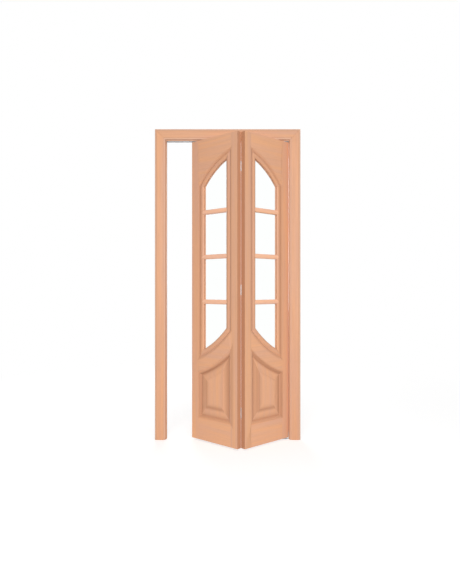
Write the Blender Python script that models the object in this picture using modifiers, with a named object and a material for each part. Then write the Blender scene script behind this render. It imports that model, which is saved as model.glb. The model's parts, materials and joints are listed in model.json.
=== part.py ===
"""A wooden bifold door: two arched, glazed and panelled leaves that fold inside a mitred frame.

Metres, +Z up. X runs across the doorway and Y into the wall. The origin is on the floor, at the
middle of the doorway, in the plane where the casings meet the wall. The leaves stand half folded.
"""

import math

import bmesh
import bpy
from mathutils import Matrix, Vector

# The doorway and the frame round it
opening_width = 0.840
opening_height = 2.045
jamb_thickness = 0.032
jamb_depth = 0.044
head_housing_depth = 0.008
casing_width = 0.072
casing_thickness = 0.018
casing_reveal = 0.005
casing_land_width = 0.012
casing_relief_depth = 0.002
touch_gap = 0.0003
overrun = 0.010

# The folding of the leaves, and the gaps round them
fold_angle_at_rest = 41.4
pivot_side_gap = 0.008
lead_side_gap = 0.009
fold_gap = 0.0008
floor_gap = 0.010
head_gap = 0.005
pivot_inset = 0.020
pivot_line_depth = 0.018

# A leaf's members
leaf_thickness = 0.035
fold_stile_width = 0.057
outer_stile_width = 0.062
bottom_rail_width = 0.146
mid_rail_width = 0.082
tenon_length = 0.030
tenon_thickness = 0.010
tenon_shoulder = 0.016
member_reach = 0.015

# The arched lite: its corners are on the sight edge, its drops are from the leaf's top
band_width = 0.045
band_depth = 0.009
lite_peak_drop = 0.161
lite_spring_drop = 0.319
arch_radius = 0.528
lite_low_fold_height = 0.767
lite_low_outer_height = 0.614
low_curve_radius = 0.677
rebate_depth = 0.014
rebate_width = 0.010
arc_steps = 12

# Muntins, panes and the beads that hold the glass from behind. The shares are of the height between
# the lite's corners at the fold side, from the top muntin down.
muntin_height_shares = (0.6988, 0.4256, 0.1525)
muntin_width = 0.030
muntin_stem_width = 0.010
muntin_sink = 0.003
glass_thickness = 0.004
glass_edge_gap = 0.0008
bead_width = 0.009
bead_flat_width = 0.004
bead_set_back = 0.001

# The raised panel and the moulding round it
sticking_width = 0.022
sticking_depth = 0.012
groove_depth = 0.010
panel_edge_gap = 0.002
panel_bevel_width = 0.047
bottom_bevel_extra = 0.013
panel_bevel_rise = 0.0065
panel_step_rise = 0.002
panel_step_width = 0.0012

# Butt hinges let into the leaves' backs, and how far their axis stands behind the backs
hinge_count = 3
hinge_end_distance = 0.190
hinge_height = 0.064
hinge_plate_width = 0.026
hinge_plate_thickness = 0.0015
hinge_axis_offset = 0.0003
knuckle_radius = 0.0032
hinge_pin_radius = 0.0015
hinge_pin_head_radius = 0.0026
hinge_pin_head_height = 0.0012
running_clearance = 0.0001
knuckle_gap = 0.0004

# The track in the head, and what hangs in it
track_width = 0.025
track_height = 0.020
track_wall = 0.0016
track_flange_width = 0.005
track_flange_thickness = 0.0012
top_bracket_length = 0.040
top_bracket_height = 0.0115
bracket_edge_bevel = 0.0010
guide_wheel_radius = 0.0104
guide_wheel_width = 0.0080
guide_wheel_crown = 0.0012
wheel_recess = 0.0012
wheel_hub_radius = 0.0052
wheel_rim_width = 0.0026

# Sprung pins in the leaves' top edges
plunger_radius = 0.0030
plunger_reach = 0.020
plunger_insertion = 0.022
plunger_tip_bevel = 0.0010
journal_radius = 0.0025
collar_radius = 0.0050
collar_height = 0.0015
wheel_axial_gap = 0.0004
sleeve_radius = 0.0060
sleeve_length = 0.046
sleeve_floor = 0.003
sleeve_flange_radius = 0.0085
sleeve_flange_thickness = 0.0012
spring_wire_radius = 0.0004
spring_turns = 7
spring_points_per_turn = 9

# The bottom pivot
bottom_pin_radius = 0.0040
bottom_pin_insertion = 0.045
bottom_nut_radius = 0.0085
bottom_nut_height = 0.0014
bracket_plate_thickness = 0.0025
bracket_width = 0.028
bracket_leg_height = 0.045
bracket_inner_reach = 0.018
cup_radius = 0.0075
cup_height = 0.0078
jamb_mortise_depth = 0.0030

# Roundness of turned pieces
fine_sides = 24
knuckle_sides = 16
nut_sides = 6
smooth_angle = 40

# Moulding outlines, as shares of the moulding's own width and depth
band_shares = (
    (0.10, 0.28),
    (0.22, 0.50),
    (0.31, 0.56),
    (0.33, 0.80),
    (0.42, 0.42),
    (0.56, 0.28),
    (0.72, 0.30),
    (0.88, 0.52),
    (1.00, 1.00),
)
band_crest_share = 0.64
sticking_shares = (
    (0.04, 0.20),
    (0.20, 0.14),
    (0.48, 0.24),
    (0.74, 0.50),
    (0.92, 0.80),
    (1.00, 1.00),
)
casing_shares = (
    (0.00, 0.60),
    (0.02, 0.72),
    (0.06, 0.80),
    (0.14, 0.83),
    (0.19, 0.96),
    (0.24, 1.00),
    (0.78, 1.00),
    (0.83, 0.96),
    (0.88, 0.83),
    (0.95, 0.80),
    (0.99, 0.72),
    (1.00, 0.60),
)
muntin_shares = (
    (-0.50, 0.00),
    (-0.50, 0.45),
    (-0.40, 0.78),
    (-0.20, 0.96),
    (0.00, 1.00),
    (0.20, 0.96),
    (0.40, 0.78),
    (0.50, 0.45),
    (0.50, 0.00),
)

# Colours (linear) with roughness and metallic
finishes = {
    "leaf_wood": ((0.730, 0.392, 0.238), 0.50, 0.0),
    "band_wood": ((0.830, 0.500, 0.330), 0.50, 0.0),
    "frame_wood": ((0.800, 0.450, 0.270), 0.50, 0.0),
    "clear_glass": ((0.900, 0.940, 0.930), 0.05, 0.0),
    "plated_steel": ((0.560, 0.570, 0.580), 0.32, 1.0),
    "track_aluminium": ((0.700, 0.700, 0.700), 0.38, 1.0),
    "nylon": ((0.800, 0.790, 0.750), 0.45, 0.0),
}

# Sizes that follow from the ones above
half_gap = touch_gap / 2
half_opening = opening_width / 2
leaf_width = (opening_width - pivot_side_gap - lead_side_gap - fold_gap) / 2
leaf_bottom = floor_gap
leaf_top = opening_height - head_gap
leaf_front = -(hinge_axis_offset + leaf_thickness)
leaf_back = -hinge_axis_offset
opening_left = fold_stile_width
opening_right = leaf_width - outer_stile_width
panel_low = leaf_bottom + bottom_rail_width
muntin_count = len(muntin_height_shares)
rest_angle = math.radians(fold_angle_at_rest)
pivot_reach = leaf_width + fold_gap / 2 - pivot_inset
pivot_offset = hinge_axis_offset + leaf_thickness / 2
pivot_x = half_opening - pivot_side_gap - pivot_inset
track_ceiling = opening_height + track_height - track_wall
track_inner_width = track_width - 2 * track_wall
sleeve_bore_radius = plunger_radius + running_clearance
plunger_top = leaf_top + plunger_reach
plunger_bottom = leaf_top - plunger_insertion
sleeve_bottom = leaf_top - sleeve_length


def clear_scene():
    for obj in list(bpy.data.objects):
        bpy.data.objects.remove(obj, do_unlink=True)


def make_materials():
    made = {}
    for name, (colour, roughness, metallic) in finishes.items():
        material = bpy.data.materials.new(name)
        material.use_nodes = True
        shader = material.node_tree.nodes["Principled BSDF"]
        shader.inputs["Base Color"].default_value = (*colour, 1.0)
        shader.inputs["Roughness"].default_value = roughness
        shader.inputs["Metallic"].default_value = metallic
        made[name] = material
    return made


def make_collection(name, shown):
    collection = bpy.data.collections.new(name)
    collection.hide_render = not shown
    bpy.context.scene.collection.children.link(collection)
    return collection


clear_scene()
materials = make_materials()
door_collection = make_collection("bifold_door", True)
cutter_collection = make_collection("cutters", False)


def make_empty(name, place, turn):
    """A holder on a joint's axis, turned about Z."""
    empty = bpy.data.objects.new(name, None)
    empty.location = place
    empty.rotation_euler = (0, 0, turn)
    door_collection.objects.link(empty)
    return empty


def to_mesh(name, shape):
    """A mesh from a closed bmesh, with its faces turned outwards; the bmesh is freed."""
    bmesh.ops.recalc_face_normals(shape, faces=shape.faces)
    if shape.calc_volume(signed=True) < 0:
        bmesh.ops.reverse_faces(shape, faces=shape.faces)
    mesh = bpy.data.meshes.new(name)
    shape.to_mesh(mesh)
    shape.free()
    return mesh


def add_piece(name, shape, finish, parent=None):
    """A visible piece from a bmesh."""
    mesh = to_mesh(name, shape)
    mesh.materials.append(materials[finish])
    obj = bpy.data.objects.new(name, mesh)
    obj.parent = parent
    door_collection.objects.link(obj)
    return obj


def add_cutter(name, shape, parent=None):
    """A helper that only Booleans use."""
    obj = bpy.data.objects.new(name, to_mesh(name, shape))
    obj.parent = parent
    obj.hide_render = True
    obj.display_type = "WIRE"
    cutter_collection.objects.link(obj)
    return obj


def add_boolean(obj, other, operation):
    modifier = obj.modifiers.new(other.name, "BOOLEAN")
    modifier.operation = operation
    modifier.solver = "EXACT"
    modifier.object = other


def cut(obj, *cutters):
    for cutter in cutters:
        add_boolean(obj, cutter, "DIFFERENCE")


def join(obj, *others):
    for other in others:
        add_boolean(obj, other, "UNION")


def smooth_round(obj):
    obj.data.shade_smooth()
    obj.data.set_sharp_from_angle(angle=math.radians(smooth_angle))


def box(low, high):
    shape = bmesh.new()
    size = Vector(high) - Vector(low)
    middle = (Vector(high) + Vector(low)) / 2
    matrix = Matrix.Translation(middle) @ Matrix.Diagonal((*size, 1))
    bmesh.ops.create_cube(shape, size=1, matrix=matrix)
    return shape


def cylinder(x, y, z_low, z_high, radius, sides):
    shape = bmesh.new()
    bmesh.ops.create_cone(
        shape,
        cap_ends=True,
        segments=sides,
        radius1=radius,
        radius2=radius,
        depth=z_high - z_low,
        matrix=Matrix.Translation((x, y, (z_low + z_high) / 2)),
    )
    return shape


def push_face(shape, face, way):
    """Extrudes one face along a vector and gives the far end. A lone face stays as the near end."""
    lone = all(len(edge.link_faces) == 1 for edge in face.edges)
    made = bmesh.ops.extrude_face_region(shape, geom=[face])["geom"]
    end = next(item for item in made if isinstance(item, bmesh.types.BMFace))
    bmesh.ops.translate(shape, verts=end.verts, vec=way)
    if not lone:
        bmesh.ops.delete(shape, geom=[face], context="FACES_ONLY")
    return end


def flat_outline(shape, points, y):
    """One face in an XZ plane."""
    return shape.faces.new([shape.verts.new((x, y, z)) for x, z in points])


def drawn_in(points, distance):
    """An outline with every side moved inwards by the distance, its corners mitred."""
    befores = points[-1:] + points[:-1]
    afters = points[1:] + points[:1]
    area = sum(x * next_z - next_x * z for (x, z), (next_x, next_z) in zip(points, afters))
    inwards = math.copysign(distance, area)
    moved = []
    for before, here, after in zip(befores, points, afters):
        coming = (Vector(here) - Vector(before)).normalized().orthogonal()
        going = (Vector(after) - Vector(here)).normalized().orthogonal()
        mitre = (coming + going) / (1 + coming.dot(going))
        moved.append(tuple(Vector(here) + mitre * inwards))
    return moved


def plate(points, y_low, y_high):
    """An outline in the XZ plane, from y_low to y_high."""
    shape = bmesh.new()
    face = flat_outline(shape, points, y_low)
    push_face(shape, face, (0, y_high - y_low, 0))
    return shape


def lofted(sections):
    """A solid through (points, y) sections that have the same number of points."""
    shape = bmesh.new()
    place = shape.verts.layers.int.new("place")
    points, y = sections[0]
    end = flat_outline(shape, points, y)
    for index, vert in enumerate(end.verts):
        vert[place] = index
    for points, y in sections[1:]:
        end = push_face(shape, end, (0, 0, 0))
        for vert in end.verts:
            x, z = points[vert[place]]
            vert.co = (x, y, z)
    return shape


def along_x(points, x_low, x_high):
    """A bar whose section is (y, z) points."""
    shape = bmesh.new()
    face = shape.faces.new([shape.verts.new((x_low, y, z)) for y, z in points])
    push_face(shape, face, (x_high - x_low, 0, 0))
    return shape


def turned(name, profile, sides, finish, place, parent=None):
    """A turned piece: (radius, z) points, run down the outer side, and a Screw about Z."""
    shape = bmesh.new()
    verts = [shape.verts.new((radius, 0, z)) for radius, z in profile]
    for first, second in zip(verts, verts[1:]):
        shape.edges.new((first, second))
    if profile[0][0] and profile[-1][0]:
        shape.edges.new((verts[-1], verts[0]))
    mesh = bpy.data.meshes.new(name)
    shape.to_mesh(mesh)
    shape.free()
    mesh.materials.append(materials[finish])
    obj = bpy.data.objects.new(name, mesh)
    obj.location = place
    obj.parent = parent
    door_collection.objects.link(obj)
    screw = obj.modifiers.new("turn", "SCREW")
    screw.steps = sides
    screw.render_steps = sides
    screw.use_merge_vertices = True
    screw.merge_threshold = touch_gap / 10
    return obj


def arc(centre, radius, u_start, u_end, rise):
    """Points on a circle from u_start to u_end, above its centre for rise 1 and below it for -1."""
    centre_u, centre_z = centre
    start = math.asin((u_start - centre_u) / radius)
    end = math.asin((u_end - centre_u) / radius)
    points = []
    for step in range(arc_steps + 1):
        angle = start + (end - start) * step / arc_steps
        points.append((centre_u + radius * math.sin(angle), centre_z + rise * radius * math.cos(angle)))
    return points


def arc_centre(first, second, radius, side):
    """The centre of the circle of this radius through two points, below their chord for side -1."""
    chord = Vector(second) - Vector(first)
    middle = (Vector(second) + Vector(first)) / 2
    across = Vector((-chord.y, chord.x)).normalized()
    if across.y * side < 0:
        across = -across
    return tuple(middle + across * math.sqrt(radius**2 - (chord.length / 2) ** 2))


sight_left = opening_left + band_width
sight_right = opening_right - band_width
arch_centre = arc_centre(
    (sight_left, leaf_top - lite_peak_drop),
    (sight_right, leaf_top - lite_spring_drop),
    arch_radius,
    -1,
)
low_centre = arc_centre(
    (sight_left, leaf_bottom + lite_low_fold_height),
    (sight_right, leaf_bottom + lite_low_outer_height),
    low_curve_radius,
    1,
)
panel_top_radius = low_curve_radius + band_width + mid_rail_width


def arch_line(inset):
    """The lite's top, from the outer side to the fold side, drawn in from the moulding's outer line."""
    radius = arch_radius + band_width - inset
    return arc(arch_centre, radius, opening_right - inset, opening_left + inset, 1)


def low_line(inset):
    """The lite's bottom, from the fold side to the outer side."""
    radius = low_curve_radius + band_width - inset
    return arc(low_centre, radius, opening_left + inset, opening_right - inset, -1)


def panel_line(inset):
    """The panel's top, from the outer side to the fold side."""
    radius = panel_top_radius + inset
    return arc(low_centre, radius, opening_right - inset, opening_left + inset, -1)


def lite_outline(inset):
    return low_line(inset) + arch_line(inset)


def panel_outline(inset, raised=0.0):
    """The panel's opening, drawn in from the sticking's outer line, its bottom raised as well."""
    low = panel_low + inset + raised
    return [(opening_left + inset, low), (opening_right - inset, low)] + panel_line(inset)


def muntin_height(index):
    """The middle of a muntin, counted from the top one."""
    low = leaf_bottom + lite_low_fold_height
    high = leaf_top - lite_peak_drop
    return low + muntin_height_shares[index] * (high - low)


def pane_outline(index, inset, edge):
    """The outline of one pane's place in the rebate, counted from the top, with edge clear of the stems."""
    stem = muntin_stem_width / 2 + edge
    if index == 0:
        low = muntin_height(0) + stem
        return [(opening_left + inset, low), (opening_right - inset, low)] + arch_line(inset)
    high = muntin_height(index - 1) - stem
    top = [(opening_right - inset, high), (opening_left + inset, high)]
    if index == muntin_count:
        return low_line(inset) + top
    low = muntin_height(index) + stem
    return [(opening_left + inset, low), (opening_right - inset, low)] + top


def fold_stile_outline():
    """Out to the mitres of the mouldings, and a little way into the openings, which are cut later."""
    lite_insets = (0, band_width, band_width + member_reach)
    panel_insets = (0, sticking_width, sticking_width + member_reach)
    points = [(-half_gap, leaf_bottom - half_gap), (opening_left, leaf_bottom - half_gap)]
    points += [(opening_left + inset, panel_low + inset) for inset in panel_insets]
    points += [panel_line(inset)[-1] for inset in reversed(panel_insets)]
    points += [low_line(inset)[0] for inset in lite_insets]
    points += [arch_line(inset)[-1] for inset in reversed(lite_insets)]
    points += [(opening_left, leaf_top + half_gap), (-half_gap, leaf_top + half_gap)]
    return points


def outer_stile_outline():
    lite_insets = (0, band_width, band_width + member_reach)
    panel_insets = (0, sticking_width, sticking_width + member_reach)
    edge = leaf_width + half_gap
    points = [(edge, leaf_bottom - half_gap), (opening_right, leaf_bottom - half_gap)]
    points += [(opening_right - inset, panel_low + inset) for inset in panel_insets]
    points += [panel_line(inset)[0] for inset in reversed(panel_insets)]
    points += [low_line(inset)[-1] for inset in lite_insets]
    points += [arch_line(inset)[0] for inset in reversed(lite_insets)]
    points += [(opening_right, leaf_top + half_gap), (edge, leaf_top + half_gap)]
    return points


def bottom_rail_outline():
    insets = (0, sticking_width, sticking_width + member_reach)
    points = [(opening_left, leaf_bottom - half_gap), (opening_right, leaf_bottom - half_gap)]
    points += [(opening_right - inset, panel_low + inset) for inset in insets]
    points += [(opening_left + inset, panel_low + inset) for inset in reversed(insets)]
    return points


def mid_rail_outline():
    points = [panel_line(inset)[-1] for inset in (0, sticking_width)]
    points += reversed(panel_line(sticking_width + member_reach))
    points += [panel_line(inset)[0] for inset in (sticking_width, 0)]
    points += [low_line(inset)[-1] for inset in (0, band_width)]
    points += reversed(low_line(band_width + member_reach))
    points += [low_line(inset)[0] for inset in (band_width, 0)]
    return points


def top_rail_outline():
    points = [arch_line(inset)[-1] for inset in (0, band_width)]
    points += reversed(arch_line(band_width + member_reach))
    points += [arch_line(inset)[0] for inset in (band_width, 0)]
    points += [(opening_right, leaf_top + half_gap), (opening_left, leaf_top + half_gap)]
    return points


class Leaf:
    """One leaf: side 1 runs from the fold to the pivot, side -1 from the fold to the guide."""

    def __init__(self, name, side, holder):
        self.name = name
        self.side = side
        self.holder = holder

    def node(self, piece):
        return f"{self.name}_{piece}"

    def across(self, points):
        """(u, z) points, u from the leaf's fold edge, as (x, z) from the hinge axis."""
        return [(self.side * (fold_gap / 2 + u), z) for u, z in points]

    def solid(self, points, sink_low, sink_high):
        """A plate between two depths below the leaf's front face."""
        return plate(self.across(points), leaf_front + sink_low, leaf_front + sink_high)

    def piece(self, name, shape, finish):
        return add_piece(self.node(name), shape, finish, self.holder)

    def cutter(self, name, shape):
        return add_cutter(self.node(name), shape, self.holder)

    def block(self, u_low, u_high, sink_low, sink_high, z_low, z_high):
        x_low, x_high = sorted(self.side * (fold_gap / 2 + u) for u in (u_low, u_high))
        low = (x_low, leaf_front + sink_low, z_low)
        high = (x_high, leaf_front + sink_high, z_high)
        return box(low, high)

    def pivot_place(self):
        """Where a pivot or guide pin stands in this leaf, seen from the hinge axis."""
        return self.side * pivot_reach, -pivot_offset


def moulding(leaf, outline, shares, width, depth, floor, front=True, clear=0.0):
    """A moulded void sunk from the leaf's front or back face; clear keeps it off the moulding."""
    face, inwards = (leaf_front, 1) if front else (leaf_back, -1)
    sections = [(outline(clear), -overrun), (outline(clear), -clear)]
    sections += [(outline(clear + inset * width), sink * depth - clear) for inset, sink in shares]
    sections += [(outline(clear + width), floor)]
    return lofted([(leaf.across(points), face + inwards * sink) for points, sink in sections])


def make_cutters(leaf):
    """The voids that the stiles and rails share, so that their mouldings meet in mitres."""
    half = leaf_thickness / 2
    rebate = lite_outline(band_width - rebate_width)
    groove = panel_outline(sticking_width - groove_depth)
    sticking = (sticking_shares, sticking_width, sticking_depth, half)
    lite = moulding(leaf, lite_outline, band_shares, band_width, band_depth, half)
    front = moulding(leaf, panel_outline, *sticking)
    back = moulding(leaf, panel_outline, *sticking, front=False)
    groove_shape = leaf.solid(groove, sticking_depth, leaf_thickness - sticking_depth)
    return {
        "lite": leaf.cutter("lite_void", lite),
        "rebate": leaf.cutter("rebate_void", leaf.solid(rebate, rebate_depth, leaf_thickness + overrun)),
        "front": leaf.cutter("panel_front_void", front),
        "back": leaf.cutter("panel_back_void", back),
        "groove": leaf.cutter("panel_groove", groove_shape),
    }


def tenon_heights():
    """Each rail's tenons: the rail, the side, and the heights between which the tenon stands."""
    low_fold = panel_line(0)[-1][1]
    low_outer = panel_line(0)[0][1]
    return (
        ("bottom_rail", "fold", leaf_bottom, panel_low),
        ("bottom_rail", "outer", leaf_bottom, panel_low),
        ("mid_rail", "fold", low_fold, low_line(0)[0][1]),
        ("mid_rail", "outer", low_outer, low_line(0)[-1][1]),
        ("top_rail", "fold", arch_line(0)[-1][1], leaf_top),
        ("top_rail", "outer", arch_line(0)[0][1], leaf_top),
    )


def add_tenons(leaf, members):
    """Tenons on the rails' ends, and the mortises in the stiles that take them."""
    sink = (leaf_thickness - tenon_thickness) / 2
    for rail, end, z_low, z_high in tenon_heights():
        low = z_low + tenon_shoulder
        high = z_high - tenon_shoulder
        if end == "fold":
            tip = opening_left - tenon_length
            root = opening_left + tenon_shoulder
            mortise_tip = tip - touch_gap
        else:
            tip = opening_right + tenon_length
            root = opening_right - tenon_shoulder
            mortise_tip = tip + touch_gap
        u_low, u_high = sorted((tip, root))
        tenon = leaf.block(u_low, u_high, sink, leaf_thickness - sink, low, high)
        join(members[rail], leaf.cutter(f"{rail}_{end}_tenon", tenon))
        u_low, u_high = sorted((mortise_tip, root))
        mortise = leaf.block(
            u_low,
            u_high,
            sink - touch_gap,
            leaf_thickness - sink + touch_gap,
            low - touch_gap,
            high + touch_gap,
        )
        cut(members[f"{end}_stile"], leaf.cutter(f"{rail}_{end}_mortise", mortise))


def make_members(leaf):
    """Two stiles and three rails, cut by the shared voids."""
    voids = make_cutters(leaf)
    lite = ("lite", "rebate")
    panel = ("front", "back", "groove")
    plans = {
        "fold_stile": (fold_stile_outline(), lite + panel),
        "outer_stile": (outer_stile_outline(), lite + panel),
        "top_rail": (top_rail_outline(), lite),
        "mid_rail": (mid_rail_outline(), lite + panel),
        "bottom_rail": (bottom_rail_outline(), panel),
    }
    members = {}
    for name, (outline, cuts) in plans.items():
        shape = leaf.solid(drawn_in(outline, half_gap), 0, leaf_thickness)
        members[name] = leaf.piece(name, shape, "leaf_wood")
        cut(members[name], *(voids[each] for each in cuts))
    add_tenons(leaf, members)
    return members


def make_panel(leaf):
    """A panel raised on both faces, with its thin edge held in the members' grooves."""
    tongue_sink = sticking_depth + touch_gap
    shoulder = sticking_width + panel_bevel_width
    shoulder_sink = tongue_sink - panel_bevel_rise
    edge = panel_outline(sticking_width - groove_depth + panel_edge_gap)
    profile = (
        (panel_outline(shoulder + panel_step_width, bottom_bevel_extra), shoulder_sink - panel_step_rise),
        (panel_outline(shoulder, bottom_bevel_extra), shoulder_sink),
        (panel_outline(sticking_width), tongue_sink),
        (edge, tongue_sink),
    )
    front = [(leaf.across(points), leaf_front + sink) for points, sink in profile]
    back = [(leaf.across(points), leaf_back - sink) for points, sink in reversed(profile)]
    leaf.piece("raised_panel", lofted(front + back), "leaf_wood")


def make_muntins(leaf):
    """T-shaped bars, coped to the moulding, whose stems part the panes."""
    half = leaf_thickness / 2
    sight = moulding(leaf, lite_outline, band_shares, band_width, band_depth, half, clear=touch_gap)
    void = leaf.cutter("muntin_void", sight)
    rebate = leaf.solid(
        lite_outline(band_width - rebate_width + touch_gap),
        rebate_depth + touch_gap,
        leaf_thickness - bead_set_back,
    )
    join(void, leaf.cutter("muntin_rebate", rebate))
    head_back = leaf_front + rebate_depth
    head_height = rebate_depth - muntin_sink
    stem = muntin_stem_width / 2
    stem_back = leaf_back + overrun
    crest = band_crest_share * band_width
    ends = (opening_left + crest, opening_right - crest)
    x_low, x_high = sorted(leaf.side * (fold_gap / 2 + u) for u in ends)
    for index in range(muntin_count):
        z = muntin_height(index)
        head = [(head_back - rise * head_height, z + aside * muntin_width) for aside, rise in muntin_shares]
        far = [(head_back, z + stem), (stem_back, z + stem), (stem_back, z - stem), (head_back, z - stem)]
        section = head + far
        bar = leaf.piece(f"muntin_{index + 1}", along_x(section, x_low, x_high), "band_wood")
        add_boolean(bar, void, "INTERSECT")


def make_glazing(leaf):
    """A pane in each light, and the ring of beads that holds it from behind."""
    rebate_inset = band_width - rebate_width
    glass_front = rebate_depth + touch_gap
    glass_back = glass_front + glass_thickness
    ring_front = glass_back + touch_gap
    ring_back = leaf_thickness - bead_set_back
    for index in range(muntin_count + 1):
        outline = pane_outline(index, rebate_inset + glass_edge_gap, glass_edge_gap)
        leaf.piece(f"pane_{index + 1}", leaf.solid(outline, glass_front, glass_back), "clear_glass")
        outline = pane_outline(index, rebate_inset + touch_gap, touch_gap)
        solid = leaf.solid(outline, ring_front, ring_back)
        ring = leaf.piece(f"glazing_bead_{index + 1}", solid, "band_wood")
        slope = bead_width - bead_flat_width
        wide = pane_outline(index, rebate_inset + touch_gap + bead_flat_width, touch_gap + bead_flat_width)
        narrow = pane_outline(index, rebate_inset + touch_gap + bead_width, touch_gap + bead_width)
        sections = (
            (wide, ring_back + overrun),
            (wide, ring_back),
            (narrow, ring_back - slope),
            (narrow, rebate_depth),
        )
        void = lofted([(leaf.across(points), leaf_front + sink) for points, sink in sections])
        cut(ring, leaf.cutter(f"bead_void_{index + 1}", void))


def make_leaf(name, side, holder):
    leaf = Leaf(name, side, holder)
    members = make_members(leaf)
    make_panel(leaf)
    make_muntins(leaf)
    make_glazing(leaf)
    return leaf, members


def hinge_heights():
    """The lower end of each hinge, from the top one down."""
    high = leaf_top - hinge_end_distance - hinge_height
    low = leaf_bottom + hinge_end_distance
    step = (high - low) / (hinge_count - 1)
    return [high - index * step for index in range(hinge_count)]


def knuckle_heights(low):
    """The three knuckles of the hinge that starts at this height, from the bottom."""
    pitch = hinge_height / 3
    half = knuckle_gap / 2
    lower = (low, low + pitch - half)
    middle = (low + pitch + half, low + 2 * pitch - half)
    upper = (low + 2 * pitch + half, low + hinge_height)
    return lower, middle, upper


def make_hinge_plate(leaf, stile, number, low, knuckles):
    """Half of a butt hinge, flush with the leaf's back, and the space for it in the fold stile."""
    high = low + hinge_height
    clear = knuckle_radius + knuckle_gap
    edge = fold_gap / 2 + hinge_plate_width
    if len(knuckles) == 1:
        ((z_low, z_high),) = knuckles
        inner = [(clear, low), (clear, z_low), (0, z_low), (0, z_high), (clear, z_high), (clear, high)]
    else:
        (_, z_low), (z_high, _) = knuckles
        inner = [(0, low), (0, z_low), (clear, z_low), (clear, z_high), (0, z_high), (0, high)]
    outline = [(leaf.side * x, z) for x, z in [(edge, high), (edge, low)] + inner]
    shape = plate(outline, leaf_back - hinge_plate_thickness, leaf_back)
    half = leaf.piece(f"hinge_plate_{number}", shape, "plated_steel")
    for z_low, z_high in knuckles:
        barrel = cylinder(0, 0, z_low, z_high, knuckle_radius, knuckle_sides)
        join(half, leaf.cutter(f"hinge_knuckle_{number}", barrel))
    bore_radius = hinge_pin_radius + running_clearance
    bore = cylinder(0, 0, low - overrun, high + overrun, bore_radius, knuckle_sides)
    cut(half, leaf.cutter(f"hinge_bore_{number}", bore))
    mortise = leaf.block(
        -overrun,
        hinge_plate_width + touch_gap,
        leaf_thickness - hinge_plate_thickness - touch_gap,
        leaf_thickness + overrun,
        low - touch_gap,
        high + touch_gap,
    )
    notch_top = high + hinge_pin_head_height + touch_gap + knuckle_gap
    notch = cylinder(0, 0, low - knuckle_gap, notch_top, clear, knuckle_sides)
    cut(stile, leaf.cutter(f"hinge_mortise_{number}", mortise))
    cut(stile, leaf.cutter(f"hinge_notch_{number}", notch))


def make_hinges(pivot_leaf, pivot_stile, guide_leaf, guide_stile):
    """The pivot leaf carries each hinge's two end knuckles and its pin, the guide leaf the middle one."""
    for number, low in enumerate(hinge_heights(), 1):
        lower, middle, upper = knuckle_heights(low)
        make_hinge_plate(pivot_leaf, pivot_stile, number, low, (lower, upper))
        make_hinge_plate(guide_leaf, guide_stile, number, low, (middle,))
        shoulder = low + hinge_height + touch_gap
        head_top = shoulder + hinge_pin_head_height
        profile = (
            (0, head_top),
            (hinge_pin_head_radius, head_top),
            (hinge_pin_head_radius, shoulder),
            (hinge_pin_radius, shoulder),
            (hinge_pin_radius, low),
            (0, low),
        )
        name = f"hinge_pin_{number}"
        smooth_round(turned(name, profile, knuckle_sides, "plated_steel", (0, 0, 0), pivot_leaf.holder))


def bore_leaf(leaf, member, name, z_low, z_high, radius):
    x, y = leaf.pivot_place()
    cut(member, leaf.cutter(name, cylinder(x, y, z_low, z_high, radius, fine_sides)))


def make_sleeve(leaf, outer_stile, name):
    """The flanged sleeve sunk in a leaf's top edge, closed below, and its bore in the stile."""
    bore_low = sleeve_bottom - touch_gap
    bore_high = leaf_top + overrun
    bore_leaf(leaf, outer_stile, "sleeve_bore", bore_low, bore_high, sleeve_radius + touch_gap)
    x, y = leaf.pivot_place()
    top = leaf_top + touch_gap + sleeve_flange_thickness
    profile = (
        (0, sleeve_bottom + sleeve_floor),
        (sleeve_bore_radius, sleeve_bottom + sleeve_floor),
        (sleeve_bore_radius, top),
        (sleeve_flange_radius, top),
        (sleeve_flange_radius, leaf_top + touch_gap),
        (sleeve_radius, leaf_top + touch_gap),
        (sleeve_radius, sleeve_bottom),
        (0, sleeve_bottom),
    )
    smooth_round(turned(name, profile, fine_sides, "nylon", (x, y, 0), leaf.holder))


def make_spring(leaf, name):
    """The coil under a sprung pin: one tube from the sleeve's floor to the pin's end."""
    x, y = leaf.pivot_place()
    low = sleeve_bottom + sleeve_floor + touch_gap + spring_wire_radius
    high = plunger_bottom - touch_gap - spring_wire_radius
    radius = sleeve_bore_radius - touch_gap - spring_wire_radius
    curve = bpy.data.curves.new(name, "CURVE")
    curve.dimensions = "3D"
    curve.bevel_depth = spring_wire_radius
    curve.bevel_resolution = 1
    curve.use_fill_caps = True
    count = spring_turns * spring_points_per_turn
    spline = curve.splines.new("POLY")
    spline.points.add(count)
    for index, point in enumerate(spline.points):
        angle = 2 * math.pi * index / spring_points_per_turn
        z = low + (high - low) * index / count
        point.co = (radius * math.cos(angle), radius * math.sin(angle), z, 1)
    curve.materials.append(materials["plated_steel"])
    obj = bpy.data.objects.new(name, curve)
    obj.location = (x, y, 0)
    obj.parent = leaf.holder
    door_collection.objects.link(obj)


def make_top_pivot(leaf, outer_stile):
    """The sprung pin that the top bracket holds."""
    x, y = leaf.pivot_place()
    make_sleeve(leaf, outer_stile, "top_pivot_sleeve")
    make_spring(leaf, "top_pivot_spring")
    profile = (
        (0, plunger_top),
        (plunger_radius - plunger_tip_bevel, plunger_top),
        (plunger_radius, plunger_top - plunger_tip_bevel),
        (plunger_radius, plunger_bottom),
        (0, plunger_bottom),
    )
    smooth_round(turned("top_pivot_pin", profile, fine_sides, "plated_steel", (x, y, 0), leaf.holder))


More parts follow.
